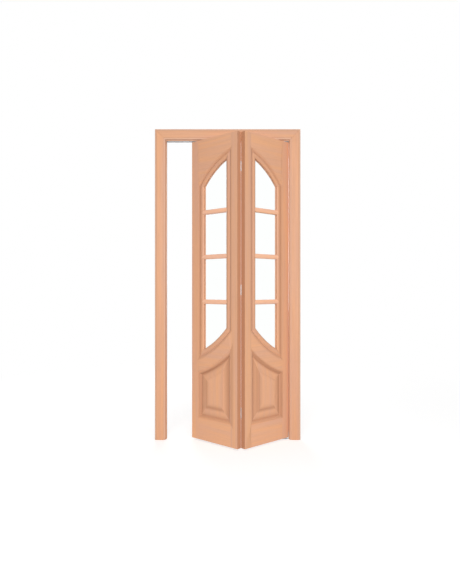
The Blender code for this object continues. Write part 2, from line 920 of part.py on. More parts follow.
def make_guide(leaf, outer_stile):
    """The sprung pin with the wheel that runs in the track."""
    x, y = leaf.pivot_place()
    make_sleeve(leaf, outer_stile, "guide_sleeve")
    make_spring(leaf, "guide_spring")
    head_low = plunger_top - collar_height
    wheel_top = head_low - wheel_axial_gap
    wheel_low = wheel_top - guide_wheel_width
    collar_top = wheel_low - wheel_axial_gap
    profile = (
        (0, plunger_top),
        (collar_radius, plunger_top),
        (collar_radius, head_low),
        (journal_radius, head_low),
        (journal_radius, collar_top),
        (collar_radius, collar_top),
        (collar_radius, collar_top - collar_height),
        (plunger_radius, collar_top - collar_height),
        (plunger_radius, plunger_bottom),
        (0, plunger_bottom),
    )
    smooth_round(turned("guide_pin", profile, fine_sides, "plated_steel", (x, y, 0), leaf.holder))
    bore = journal_radius + running_clearance
    rim = guide_wheel_radius - wheel_rim_width
    wheel = (
        (bore, wheel_top),
        (wheel_hub_radius, wheel_top),
        (wheel_hub_radius + wheel_recess, wheel_top - wheel_recess),
        (rim - wheel_recess, wheel_top - wheel_recess),
        (rim, wheel_top),
        (guide_wheel_radius - guide_wheel_crown, wheel_top),
        (guide_wheel_radius, wheel_top - guide_wheel_crown),
        (guide_wheel_radius, wheel_low + guide_wheel_crown),
        (guide_wheel_radius - guide_wheel_crown, wheel_low),
        (rim, wheel_low),
        (rim - wheel_recess, wheel_low + wheel_recess),
        (wheel_hub_radius + wheel_recess, wheel_low + wheel_recess),
        (wheel_hub_radius, wheel_low),
        (bore, wheel_low),
    )
    smooth_round(turned("guide_wheel", wheel, fine_sides, "nylon", (x, y, 0), leaf.holder))


def make_bottom_pivot(leaf, outer_stile):
    """The pin under the leaf, with the hexagon that sets the leaf's height."""
    x, y = leaf.pivot_place()
    top = leaf_bottom + bottom_pin_insertion
    bore_leaf(leaf, outer_stile, "bottom_pin_bore", -overrun, top + touch_gap, bottom_pin_radius + touch_gap)
    low = bracket_plate_thickness + touch_gap
    profile = (
        (0, top),
        (bottom_pin_radius, top),
        (bottom_pin_radius, low + plunger_tip_bevel),
        (bottom_pin_radius - plunger_tip_bevel, low),
        (0, low),
    )
    pin = turned("bottom_pivot_pin", profile, fine_sides, "plated_steel", (x, y, 0), leaf.holder)
    nut_top = leaf_bottom - touch_gap
    nut = cylinder(x, y, nut_top - bottom_nut_height, nut_top, bottom_nut_radius, nut_sides)
    join(pin, leaf.cutter("bottom_nut", nut))
    smooth_round(pin)


def make_bottom_bracket():
    """An angle plate let into the jamb's foot, with the cup that carries the door's weight."""
    y_low = pivot_line_depth - bracket_width / 2
    y_high = pivot_line_depth + bracket_width / 2
    inner = pivot_x - bracket_inner_reach
    leg = half_opening + bracket_plate_thickness + touch_gap
    points = (
        (inner, 0),
        (leg, 0),
        (leg, bracket_leg_height),
        (leg - bracket_plate_thickness, bracket_leg_height),
        (leg - bracket_plate_thickness, bracket_plate_thickness),
        (inner, bracket_plate_thickness),
    )
    obj = add_piece("bottom_pivot_bracket", plate(points, y_low, y_high), "plated_steel")
    boss_low = bracket_plate_thickness / 2
    boss = cylinder(pivot_x, pivot_line_depth, boss_low, cup_height, cup_radius, fine_sides)
    join(obj, add_cutter("bottom_cup", boss))
    bore_low = bracket_plate_thickness
    bore_radius = bottom_pin_radius + running_clearance
    bore = cylinder(pivot_x, pivot_line_depth, bore_low, leaf_bottom, bore_radius, fine_sides)
    cut(obj, add_cutter("bottom_cup_bore", bore))


def make_top_bracket():
    """The block in the track whose bore takes the top pivot pin."""
    half_width = track_inner_width / 2 - touch_gap
    top = track_ceiling - touch_gap
    low = (pivot_x - top_bracket_length / 2, pivot_line_depth - half_width, top - top_bracket_height)
    high = (pivot_x + top_bracket_length / 2, pivot_line_depth + half_width, top)
    shape = box(low, high)
    bmesh.ops.bevel(shape, geom=shape.edges, offset=bracket_edge_bevel, segments=1, affect="EDGES")
    obj = add_piece("top_pivot_bracket", shape, "plated_steel")
    bore_radius = plunger_radius + running_clearance
    bore_low = top - top_bracket_height - overrun
    bore_high = plunger_top + touch_gap
    bore = cylinder(pivot_x, pivot_line_depth, bore_low, bore_high, bore_radius, fine_sides)
    cut(obj, add_cutter("top_bracket_bore", bore))


def make_track():
    """A channel let into the head, open below, with a flange each side of its mouth."""
    outer = track_width / 2
    inner = outer - track_wall
    flange = outer + track_flange_width
    top = opening_height + track_height
    low = opening_height - touch_gap - track_flange_thickness
    lip = opening_height - touch_gap
    half = (
        (outer, top),
        (outer, lip),
        (flange, lip),
        (flange, low),
        (inner, low),
        (inner, track_ceiling),
    )
    right = [(pivot_line_depth + aside, z) for aside, z in half]
    left = [(pivot_line_depth - aside, z) for aside, z in reversed(half)]
    end = half_opening - touch_gap
    add_piece("top_track", along_x(right + left, -end, end), "track_aluminium")


def make_jambs():
    """Two side jambs, housed at the top for the head, and the head with its groove for the track."""
    top = opening_height + jamb_thickness
    for name, side in (("jamb_pivot_side", 1), ("jamb_guide_side", -1)):
        x_low, x_high = sorted((side * half_opening, side * (half_opening + jamb_thickness)))
        jamb = add_piece(name, box((x_low, 0, 0), (x_high, jamb_depth, top)), "frame_wood")
        inner = half_opening + head_housing_depth
        x_low, x_high = sorted((side * (half_opening - overrun), side * inner))
        low = (x_low, -overrun, opening_height - touch_gap)
        high = (x_high, jamb_depth + overrun, top + overrun)
        cut(jamb, add_cutter(f"{name}_housing", box(low, high)))
        if side == 1:
            low = (half_opening - overrun, pivot_line_depth - bracket_width / 2 - touch_gap, -overrun)
            high = (
                half_opening + jamb_mortise_depth + touch_gap,
                pivot_line_depth + bracket_width / 2 + touch_gap,
                bracket_leg_height + touch_gap,
            )
            cut(jamb, add_cutter("bracket_mortise", box(low, high)))
    reach = half_opening + head_housing_depth - touch_gap
    head = add_piece("head_jamb", box((-reach, 0, opening_height), (reach, jamb_depth, top)), "frame_wood")
    half_groove = track_width / 2 + touch_gap
    low = (-half_opening, pivot_line_depth - half_groove, opening_height - overrun)
    high = (half_opening, pivot_line_depth + half_groove, opening_height + track_height + touch_gap)
    cut(head, add_cutter("track_groove", box(low, high)))


def casing(name, length_low, length_high, mitre_low, mitre_high, turn, inner_edge):
    """A moulded casing along Z, its inner edge at x = inner_edge; a mitred end grows with the width.

    Its back is hollowed between two lands: the inner one lies on the jamb, the outer one on the wall.
    """
    shape = bmesh.new()
    relief_low = casing_land_width
    relief_high = casing_width - casing_land_width
    section = [(0, 0)]
    section += [(share * casing_width, -height * casing_thickness) for share, height in casing_shares]
    section += [(casing_width, 0), (relief_high, 0)]
    section += [(relief_high - casing_relief_depth, -casing_relief_depth)]
    section += [(relief_low + casing_relief_depth, -casing_relief_depth), (relief_low, 0)]
    face = shape.faces.new([shape.verts.new((inner_edge + aside, y, length_low)) for aside, y in section])
    push_face(shape, face, (0, 0, length_high - length_low))
    for vert in shape.verts:
        aside = vert.co.x - inner_edge
        if vert.co.z > (length_low + length_high) / 2:
            vert.co.z += mitre_high * (aside - half_gap * math.sqrt(2))
        else:
            vert.co.z -= mitre_low * (aside - half_gap * math.sqrt(2))
    bmesh.ops.transform(shape, matrix=turn, verts=shape.verts)
    add_piece(name, shape, "frame_wood")


def make_casings():
    """Three casings on the wall side's front, mitred at the two top corners."""
    inner = half_opening + casing_reveal
    top = opening_height + casing_reveal
    casing("casing_pivot_side", 0, top, 0, 1, Matrix.Identity(4), inner)
    casing("casing_guide_side", 0, top, 0, 1, Matrix.Scale(-1, 4, (1, 0, 0)), inner)
    casing("casing_head", -inner, inner, 1, 1, Matrix.Rotation(-math.pi / 2, 4, "Y"), top)


def make_door():
    pivot = Vector((pivot_x, pivot_line_depth, 0))
    along = Vector((math.cos(rest_angle), math.sin(rest_angle), 0)) * pivot_reach
    aside = Vector((math.sin(rest_angle), -math.cos(rest_angle), 0)) * pivot_offset
    hinge = pivot - along - aside
    pivot_holder = make_empty("pivot_leaf", hinge, rest_angle)
    guide_holder = make_empty("guide_leaf", hinge, -rest_angle)
    pivot_leaf, pivot_members = make_leaf("pivot_leaf", 1, pivot_holder)
    guide_leaf, guide_members = make_leaf("guide_leaf", -1, guide_holder)
    make_hinges(pivot_leaf, pivot_members["fold_stile"], guide_leaf, guide_members["fold_stile"])
    make_top_pivot(pivot_leaf, pivot_members["outer_stile"])
    make_bottom_pivot(pivot_leaf, pivot_members["outer_stile"])
    make_guide(guide_leaf, guide_members["outer_stile"])
    make_jambs()
    make_casings()
    make_track()
    make_top_bracket()
    make_bottom_bracket()
    guide_x = 2 * hinge.x - pivot.x
    print("pivot", tuple(pivot), "hinge", tuple(hinge), "guide x", guide_x)


make_door()
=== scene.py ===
"""Looks for the wooden bifold door: wood, glass, metal, screws and coils, with light and camera."""

import json
import math

import bmesh
import bpy
from mathutils import Matrix, Vector


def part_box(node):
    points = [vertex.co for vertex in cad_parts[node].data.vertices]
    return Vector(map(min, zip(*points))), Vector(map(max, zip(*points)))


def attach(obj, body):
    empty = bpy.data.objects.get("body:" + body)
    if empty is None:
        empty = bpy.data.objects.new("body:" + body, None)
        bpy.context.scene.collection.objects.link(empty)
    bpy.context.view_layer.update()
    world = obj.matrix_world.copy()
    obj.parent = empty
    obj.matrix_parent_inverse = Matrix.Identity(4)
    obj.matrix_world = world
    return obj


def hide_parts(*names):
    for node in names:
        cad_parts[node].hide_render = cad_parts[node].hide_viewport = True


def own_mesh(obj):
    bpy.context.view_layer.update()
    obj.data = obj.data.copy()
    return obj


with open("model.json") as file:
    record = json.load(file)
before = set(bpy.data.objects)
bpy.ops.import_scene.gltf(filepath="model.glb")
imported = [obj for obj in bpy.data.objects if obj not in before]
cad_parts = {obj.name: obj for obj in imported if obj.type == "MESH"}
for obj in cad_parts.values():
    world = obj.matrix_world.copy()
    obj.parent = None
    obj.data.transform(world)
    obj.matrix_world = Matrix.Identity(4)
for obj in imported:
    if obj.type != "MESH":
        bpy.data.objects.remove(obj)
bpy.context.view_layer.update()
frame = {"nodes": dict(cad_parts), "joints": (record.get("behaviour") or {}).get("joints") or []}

# How the leaves stand at rest: side 1 runs from the fold to the pivot, side -1 to the guide.
# The pivot's lowest angle closes the door, so each leaf stands that far from the doorway's line
leaf_sides = {"pivot_leaf": 1, "guide_leaf": -1}
joints = {joint["name"]: joint for joint in frame["joints"]}
leaf_angle = math.radians(-min(joints["pivot"]["range_deg"]))
hinge_point = joints["fold"]["pos_m"]
pivot_x, pivot_line, _ = joints["pivot"]["pos_m"]

# The height of a leaf's foot and of its top, from the frame
leaf_low, leaf_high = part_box("pivot_leaf_outer_stile")
leaf_bottom = leaf_low.z
leaf_top = leaf_high.z

# A leaf's other sizes, repeated from the part
fold_half_gap = 0.0004
leaf_width = 0.4111
leaf_back = -0.0003
fold_stile_width = 0.057
outer_stile_width = 0.062
bottom_rail_width = 0.146
mid_rail_width = 0.082
band_width = 0.045
lite_peak_drop = 0.161
lite_spring_drop = 0.319
arch_radius = 0.528
lite_low_fold_height = 0.767
lite_low_outer_height = 0.614
low_curve_radius = 0.677
sticking_width = 0.022
panel_bevel_width = 0.047
bottom_bevel_extra = 0.013

# The casing's sizes, from the frame
casing_low, casing_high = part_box("casing_pivot_side")
casing_width = casing_high.x - casing_low.x
casing_inner_edge = casing_low.x
casing_inner_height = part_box("casing_head")[0].z

# How many panes, muntins and hinges a leaf has
pane_count = 4
muntin_count = pane_count - 1
hinge_count = 3

# Where the hardware's faces lie that hold the frame's screws: one from the frame, three repeated
# from the part
top_bracket_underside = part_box("top_pivot_bracket")[0].z
track_ceiling = 2.0634
bracket_leg_face = 0.4203
bracket_plate_top = 0.0025

# The springs under the sprung pins: each one's node, its body and the joint that presses it
springs = (
    ("top_pivot_spring", "pivot_leaf", "top_pivot_plunge"),
    ("guide_spring", "guide_leaf", "guide_plunge"),
)
spring_turns = 7
spring_wire_radius = 0.0004
spring_steps = 24
spring_wire_sides = 10

# A screw's head and the cross in it
screw_radius = 0.0031
screw_proud = 0.00022
screw_sink = 0.0005
screw_sides = 28
dome_share = 0.62
cross_reach = 0.0018
cross_width = 0.0006
cross_depth = 0.00045

# Where the screws sit. A hinge plate's are given from the fold and from the plate's middle
hinge_screw_near = 0.013
hinge_screw_far = 0.019
hinge_screw_row = 0.022
hinge_screws = (
    (hinge_screw_near, -hinge_screw_row),
    (hinge_screw_far, 0.0),
    (hinge_screw_near, hinge_screw_row),
)
track_screw_places = (-0.38, -0.13, 0.12, 0.34)
leg_screw_heights = (0.022, 0.036)
plate_screw_inset = 0.014
plate_screw_aside = 0.009
set_screw_aside = 0.013

# How far the crosses are turned, in radians, so that they don't all line up
hinge_screw_turn = 2.0
leg_screw_turn = 0.4
plate_screw_turn = 0.8
set_screw_turn = 1.3

# Wood tones, as linear colours
leaf_tone = (0.715, 0.384, 0.233)
# A shade darker than the leaf's tone: painted shade on the stiles beside the fold
fold_stile_shaded_tone = (0.676, 0.368, 0.227)
casing_tone = (0.608, 0.314, 0.180)
# A shade darker than the side casings' tone: painted shade that evens out the stronger lamp light on
# the head
head_shaded_tone = (0.590, 0.306, 0.176)
# Lighter than the leaf's tone: a painted highlight on the muntins' rounded faces
muntin_highlight_tone = (0.880, 0.503, 0.330)
# The painted shade that darkens the mouldings and the edges at the fold
painted_shade_tone = (0.470, 0.222, 0.122)
margin_tone = (0.578, 0.346, 0.236)

# How much painted shade the wood has across a moulding: darker in its grooves and on the sides that
# face away from the light. Each row is a place, as a share of the moulding's width from its outer edge
# in, and the shade there. Places below 0 and above 1 lie on the wood beside it. The two leaves have
# tables of their own, where their painted shade differs
lite_outer_shade_shares = (
    (-0.12, 0.00),
    (0.02, 0.50),
    (0.14, 0.86),
    (0.30, 0.86),
    (0.46, 0.36),
    (0.66, 0.16),
    (0.93, 0.30),
    (1.00, 0.40),
)
lite_arch_shade_shares = (
    (-0.12, 0.00),
    (0.02, 0.28),
    (0.14, 0.50),
    (0.30, 0.52),
    (0.46, 0.32),
    (0.66, 0.20),
    (0.93, 0.30),
    (1.00, 0.40),
)
pivot_lite_fold_shade_shares = (
    (-0.32, 0.00),
    (-0.18, 0.30),
    (0.04, 0.24),
    (0.18, 0.20),
    (0.28, 0.80),
    (0.38, 0.84),
    (0.47, 0.25),
    (0.55, 0.00),
    (0.93, 0.20),
    (1.00, 0.40),
)
guide_lite_fold_shade_shares = (
    (-0.32, 0.00),
    (-0.18, 0.30),
    (0.06, 0.38),
    (0.20, 0.36),
    (0.34, 0.34),
    (0.50, 0.40),
    (0.64, 0.18),
    (0.93, 0.20),
    (1.00, 0.40),
)
lite_foot_shade_shares = (
    (-0.24, 0.00),
    (-0.10, 0.34),
    (0.14, 0.36),
    (0.36, 0.12),
    (0.70, 0.08),
    (0.93, 0.15),
    (1.00, 0.40),
)
pivot_panel_fold_shade_shares = (
    (-0.16, 0.00),
    (0.05, 0.25),
    (0.20, 0.32),
    (0.29, 0.45),
    (0.42, 0.90),
    (0.55, 0.60),
    (0.68, 0.55),
    (0.81, 0.75),
    (0.94, 0.72),
    (1.08, 0.78),
    (1.21, 0.42),
    (1.36, 0.24),
    (1.58, 0.00),
)
pivot_panel_outer_shade_shares = (
    (-0.14, 0.00),
    (-0.04, 0.55),
    (0.06, 0.70),
    (0.12, 1.00),
    (0.28, 1.00),
    (0.40, 0.92),
    (0.54, 0.56),
    (0.70, 0.22),
    (0.84, 0.00),
    (1.00, 0.00),
)
pivot_panel_top_shade_shares = (
    (-0.12, 0.00),
    (0.00, 0.35),
    (0.08, 0.85),
    (0.18, 1.00),
    (0.27, 0.85),
    (0.36, 0.45),
    (0.46, 0.08),
    (0.60, 0.00),
    (1.05, 0.08),
    (1.20, 0.00),
)
guide_panel_fold_shade_shares = (
    (-0.40, 0.00),
    (-0.30, 0.22),
    (-0.20, 0.52),
    (-0.08, 0.60),
    (0.06, 0.30),
    (0.24, 0.42),
    (0.38, 0.90),
    (0.52, 0.82),
    (0.64, 0.62),
    (0.80, 0.36),
    (1.02, 0.27),
    (1.28, 0.00),
)
guide_panel_outer_shade_shares = (
    (-0.10, 0.00),
    (0.00, 0.28),
    (0.08, 0.55),
    (0.16, 0.88),
    (0.30, 1.00),
    (0.43, 0.60),
    (0.57, 0.42),
    (0.72, 0.27),
    (0.86, 0.28),
    (0.98, 0.46),
    (1.10, 0.68),
    (1.24, 0.22),
    (1.42, 0.00),
)
guide_panel_top_shade_shares = (
    (0.00, 0.00),
    (0.08, 0.15),
    (0.18, 0.62),
    (0.27, 1.00),
    (0.36, 1.00),
    (0.43, 0.82),
    (0.52, 0.30),
    (0.75, 0.04),
    (1.05, 0.08),
    (1.20, 0.00),
)
panel_foot_shade_shares = (
    (-0.07, 0.00),
    (0.00, 0.14),
    (0.08, 0.45),
    (0.17, 0.70),
    (0.26, 0.72),
    (0.38, 0.36),
    (0.50, 0.16),
    (0.66, 0.02),
    (0.76, 0.03),
    (0.84, 0.28),
    (0.93, 0.62),
    (1.02, 0.75),
    (1.10, 0.54),
    (1.24, 0.14),
    (1.40, 0.00),
)
lite_fold_side_shade_shares = {1: pivot_lite_fold_shade_shares, -1: guide_lite_fold_shade_shares}
panel_side_shade_shares = {
    1: (pivot_panel_fold_shade_shares, pivot_panel_outer_shade_shares, pivot_panel_top_shade_shares),
    -1: (guide_panel_fold_shade_shares, guide_panel_outer_shade_shares, guide_panel_top_shade_shares),
}

# How much of the margins' tone a casing has. Each row is a place, as a share of the casing's width
# from its inner edge out, and how much it has there
margin_tone_shares = (
    (0.00, 0.90),
    (0.12, 0.70),
    (0.22, 0.10),
    (0.26, 0.00),
    (0.76, 0.00),
    (0.80, 0.10),
    (0.90, 0.70),
    (1.00, 0.90),
)

# Edges whose shares differ by no more than this are equally near, so that a mitre shows no gap
nearest_edge_slack_share = 0.0001

# The lite's moulding has its painted shade only in front of this depth, so that its back stays plain
painted_shade_depth = -0.0120

# The edges that meet at the fold get painted shade, a dark notch between the leaves, and it fades out
# on the face beside them
fold_edge_shade_shares = {1: 1.0, -1: 0.80}
fold_shade_fade_start = 0.0004
fold_shade_fade_end = 0.0008

# The grain's axes, as places in a vector
level, upright = 0, 2

# The layers of noise in wood: repeats per metre across the grain and along it, and detail
figure_noise = {"across": 26.0, "along": 1.5, "detail": 3.0}
streak_noise = {"across": 170.0, "along": 4.0, "detail": 4.0}
pore_noise = {"across": 850.0, "along": 26.0, "detail": 2.0}

# The seeds of the noise, and how far one more in a seed moves it
leaf_seeds = {1: 1, -1: 31}
muntin_seed_step = 10
bead_seed_step = 15
jamb_seed = 60
casing_seed = 70
streak_seed_step = 5
pore_seed_step = 9
seed_shift = (3.7, 1.3, 2.1)

# The spans of a noise's values over which a look goes from one end to the other
roughness_span = (0.30, 0.70)
middle_span = (0.35, 0.65)
streak_span = (0.48, 0.72)
pore_span = (0.60, 0.74)

# What the layers do to a wood's tone, its gloss and its surface
warm_shares = (1.05, 1.01, 0.90)
cool_shares = (0.95, 0.96, 1.03)
streak_tone_share = 0.86
streak_most_share = 0.42
pore_tone_share = 0.70
pore_most_share = 0.45
wood_roughness = (0.44, 0.60)
wood_specular = 0.35
pore_bump_distance = 0.00012
pore_bump_strength = 0.35

# Metal and nylon, with the axis of their fine lines, and the lines' repeats per metre across that
# axis and along it
steel_look = {
    "colour": (0.500, 0.505, 0.510),
    "metallic": 1.0,
    "roughness": (0.44, 0.60),
    "axis": upright,
    "lines": {"across": 900.0, "along": 900.0, "detail": 3.0},
    "bump_strength": 0.25,
}
aluminium_look = {
    "colour": (0.460, 0.460, 0.465),
    "metallic": 1.0,
    "roughness": (0.46, 0.56),
    "axis": level,
    "lines": {"across": 1400.0, "along": 12.0, "detail": 3.0},
    "bump_strength": 0.12,
}
nylon_look = {
    "colour": (0.800, 0.790, 0.750),
    "metallic": 0.0,
    "roughness": (0.40, 0.52),
    "axis": upright,
    "lines": {"across": 500.0, "along": 500.0, "detail": 3.0},
    "bump_strength": 0.20,
}
cloud_noise = {"across": 60.0, "along": 60.0, "detail": 2.0}
lines_seed = 3
cloud_seed = 7
cloud_tone_share = 0.92
lines_bump_distance = 0.00005

# Glass
glass_colour = (0.985, 1.0, 0.992)
glass_ior = 1.5

# Eased edges
wood_ease = 0.0005
ease_segments = 2
ease_angle = math.radians(32)
weld_distance = 0.00002

# The camera, fitted to the photograph
camera_place = (0.0159, -3.590, 1.0407)
camera_lens = 32.8
camera_sensor = 36.0

# Light
world_strength = 0.40
key_place, key_size, key_power = (-0.5, -5.6, 2.0), 2.5, 214
fill_place, fill_size, fill_power = (1.6, -4.9, 1.8), 2.4, 90
rear_place, rear_size, rear_power = (-0.9, 5.3, 1.9), 2.6, 165
light_target = (0.0, 0.0, 1.2)

# The floor, which turns from grey into the white backdrop between its near and its far distance
floor_reach = 40
floor_grey = 0.62
floor_glow = 0.535
floor_roughness = 0.9
floor_near, floor_far = 1.0, 3.6

# A Mix node's sockets for colours, by number, because its sockets for numbers have the same names
mix_colour_inputs = (6, 7)
mix_colour_output = 2


def new_material(name):
    """A material, its node tree and its shader."""
    material = bpy.data.materials.new(name)
    material.use_nodes = True
    tree = material.node_tree
    return material, tree, tree.nodes["Principled BSDF"]


def new_object(name, data):
    """An object in the scene that shows a mesh, a lamp or a camera."""
    obj = bpy.data.objects.new(name, data)
    bpy.context.scene.collection.objects.link(obj)
    return obj


def finished_mesh(shape, name):
    """The mesh of a shape that was being built."""
    mesh = bpy.data.meshes.new(name)
    shape.to_mesh(mesh)
    shape.free()
    return mesh


def add_node(tree, kind, **settings):
    node = tree.nodes.new(kind)
    for name, value in settings.items():
        setattr(node, name, value)
    return node


def feed(tree, socket, value):
    """Sets a socket to a number, or links another node's output to it."""
    if isinstance(value, (int, float)):
        socket.default_value = value
    else:
        tree.links.new(value, socket)


def math_node(tree, operation, first, second=0.0):
    node = add_node(tree, "ShaderNodeMath", operation=operation)
    feed(tree, node.inputs[0], first)
    feed(tree, node.inputs[1], second)
    return node.outputs["Value"]


def lowest(tree, first, *others):
    for other in others:
        first = math_node(tree, "MINIMUM", first, other)
    return first


def highest(tree, first, *others):
    for other in others:
        first = math_node(tree, "MAXIMUM", first, other)
    return first


def map_range(tree, value, low, high, out_low, out_high):
    """Goes from out_low to out_high as the value goes from low to high, and stays there beyond."""
    node = add_node(tree, "ShaderNodeMapRange")
    node.inputs["From Min"].default_value = low
    node.inputs["From Max"].default_value = high
    node.inputs["To Min"].default_value = out_low
    node.inputs["To Max"].default_value = out_high
    tree.links.new(value, node.inputs["Value"])
    return node.outputs["Result"]


def tinted(tree, factor, first, second):
    """A colour between two, each a linear colour or another node's output."""
    mix = add_node(tree, "ShaderNodeMix", data_type="RGBA")
    tree.links.new(factor, mix.inputs["Factor"])
    for place, colour in zip(mix_colour_inputs, (first, second)):
        socket = mix.inputs[place]
        if isinstance(colour, tuple):
            socket.default_value = (*colour, 1.0)
        else:
            tree.links.new(colour, socket)
    return mix.outputs[mix_colour_output]


def tinge(tone, shares):
    """A tone with its red, green and blue each multiplied by a share."""
    return tuple(channel * share for channel, share in zip(tone, shares))


def shade(tone, share):
    return tinge(tone, (share, share, share))


def toned_by(tree, share, tones):
    """The tone that a table gives, by the place as a share of a moulding's width."""
    first, last = tones[0][0], tones[-1][0]
    ramp = add_node(tree, "ShaderNodeValToRGB")
    stops = ramp.color_ramp.elements
    stops.remove(stops[1])
    for number, (place, dark) in enumerate(tones):
        position = (place - first) / (last - first)
        stop = stops.new(position) if number else stops[0]
        stop.position = position
        stop.color = (dark, dark, dark, 1.0)
    tree.links.new(map_range(tree, share, first, last, 0.0, 1.0), ramp.inputs["Fac"])
    return ramp.outputs["Color"]


def nearest_edge_shade(tree, edges):
    """The painted shade at the nearest edge. An edge is its distance, its moulding's width and its
    tones.
    """
    shares = [math_node(tree, "DIVIDE", distance, width) for distance, width, _ in edges]
    limit = math_node(tree, "ADD", lowest(tree, *shares), nearest_edge_slack_share)
    found = []
    for share, (_, _, tones) in zip(shares, edges):
        nearest = math_node(tree, "LESS_THAN", share, limit)
        found.append(math_node(tree, "MULTIPLY", nearest, toned_by(tree, share, tones)))
    return highest(tree, *found)


def leaf_space(tree, side):
    """Object coordinates turned into the frame of a leaf, or left as they are for side 0."""
    coordinates = add_node(tree, "ShaderNodeTexCoord")
    mapping = add_node(tree, "ShaderNodeMapping", vector_type="TEXTURE")
    if side:
        mapping.inputs["Location"].default_value = hinge_point
        mapping.inputs["Rotation"].default_value = (0, 0, side * leaf_angle)
    tree.links.new(coordinates.outputs["Object"], mapping.inputs["Vector"])
    return mapping.outputs["Vector"]


def grain_noise(tree, space, axis, seed, across, along, detail):
    """Noise that is stretched along the grain's axis. Its mapping sets the whole of its scale."""
    scale = [across, across, across]
    scale[axis] = along
    mapping = add_node(tree, "ShaderNodeMapping")
    mapping.inputs["Location"].default_value = [seed * shift for shift in seed_shift]
    mapping.inputs["Scale"].default_value = scale
    noise = add_node(tree, "ShaderNodeTexNoise")
    noise.inputs["Scale"].default_value = 1.0
    noise.inputs["Detail"].default_value = detail
    tree.links.new(space, mapping.inputs["Vector"])
    tree.links.new(mapping.outputs["Vector"], noise.inputs["Vector"])
    return noise.outputs["Fac"]


def wood(name, tone, axis, side, seed, toning=None):
    """Wood with its grain along one axis. toning, where given, changes its colour by place."""
    material, tree, shader = new_material(name)
    space = leaf_space(tree, side)
    figure = grain_noise(tree, space, axis, seed, **figure_noise)
    streak = grain_noise(tree, space, axis, seed + streak_seed_step, **streak_noise)
    pore = grain_noise(tree, space, axis, seed + pore_seed_step, **pore_noise)
    warmth = map_range(tree, figure, *middle_span, 0, 1)
    colour = tinted(tree, warmth, tinge(tone, cool_shares), tinge(tone, warm_shares))
    streaks = map_range(tree, streak, *streak_span, 0, streak_most_share)
    colour = tinted(tree, streaks, colour, shade(tone, streak_tone_share))
    pores = map_range(tree, pore, *pore_span, 0, pore_most_share)
    colour = tinted(tree, pores, colour, shade(tone, pore_tone_share))
    if toning:
        colour = toning(tree, space, colour)
    tree.links.new(colour, shader.inputs["Base Color"])
    roughness = map_range(tree, streak, *roughness_span, *wood_roughness)
    tree.links.new(roughness, shader.inputs["Roughness"])
    bump = add_node(tree, "ShaderNodeBump", invert=True)
    bump.inputs["Distance"].default_value = pore_bump_distance
    bump.inputs["Strength"].default_value = pore_bump_strength
    tree.links.new(pore, bump.inputs["Height"])
    tree.links.new(bump.outputs["Normal"], shader.inputs["Normal"])
    shader.inputs["Specular IOR Level"].default_value = wood_specular
    return material


def arc_centre(first, second, radius, side):
    """The centre of the circle of this radius through two points, below their chord for side -1."""
    chord = Vector(second) - Vector(first)
    across = Vector((-chord.y, chord.x)).normalized()
    if across.y * side < 0:
        across = -across
    middle = (Vector(first) + Vector(second)) / 2
    return middle + across * math.sqrt(radius**2 - (chord.length / 2) ** 2)


def reach(tree, across, height, centre, above):
    """The distance from a circle's centre, counted only on the upper or the lower side of it."""
    rise = math_node(tree, "SUBTRACT", height, centre.y)
    rise = math_node(tree, "MAXIMUM" if above else "MINIMUM", rise, 0.0)
    flat = add_node(tree, "ShaderNodeCombineXYZ")
    tree.links.new(math_node(tree, "SUBTRACT", across, centre.x), flat.inputs["X"])
    tree.links.new(rise, flat.inputs["Y"])
    length = add_node(tree, "ShaderNodeVectorMath", operation="LENGTH")
    tree.links.new(flat.outputs["Vector"], length.inputs[0])
    return length.outputs["Value"]


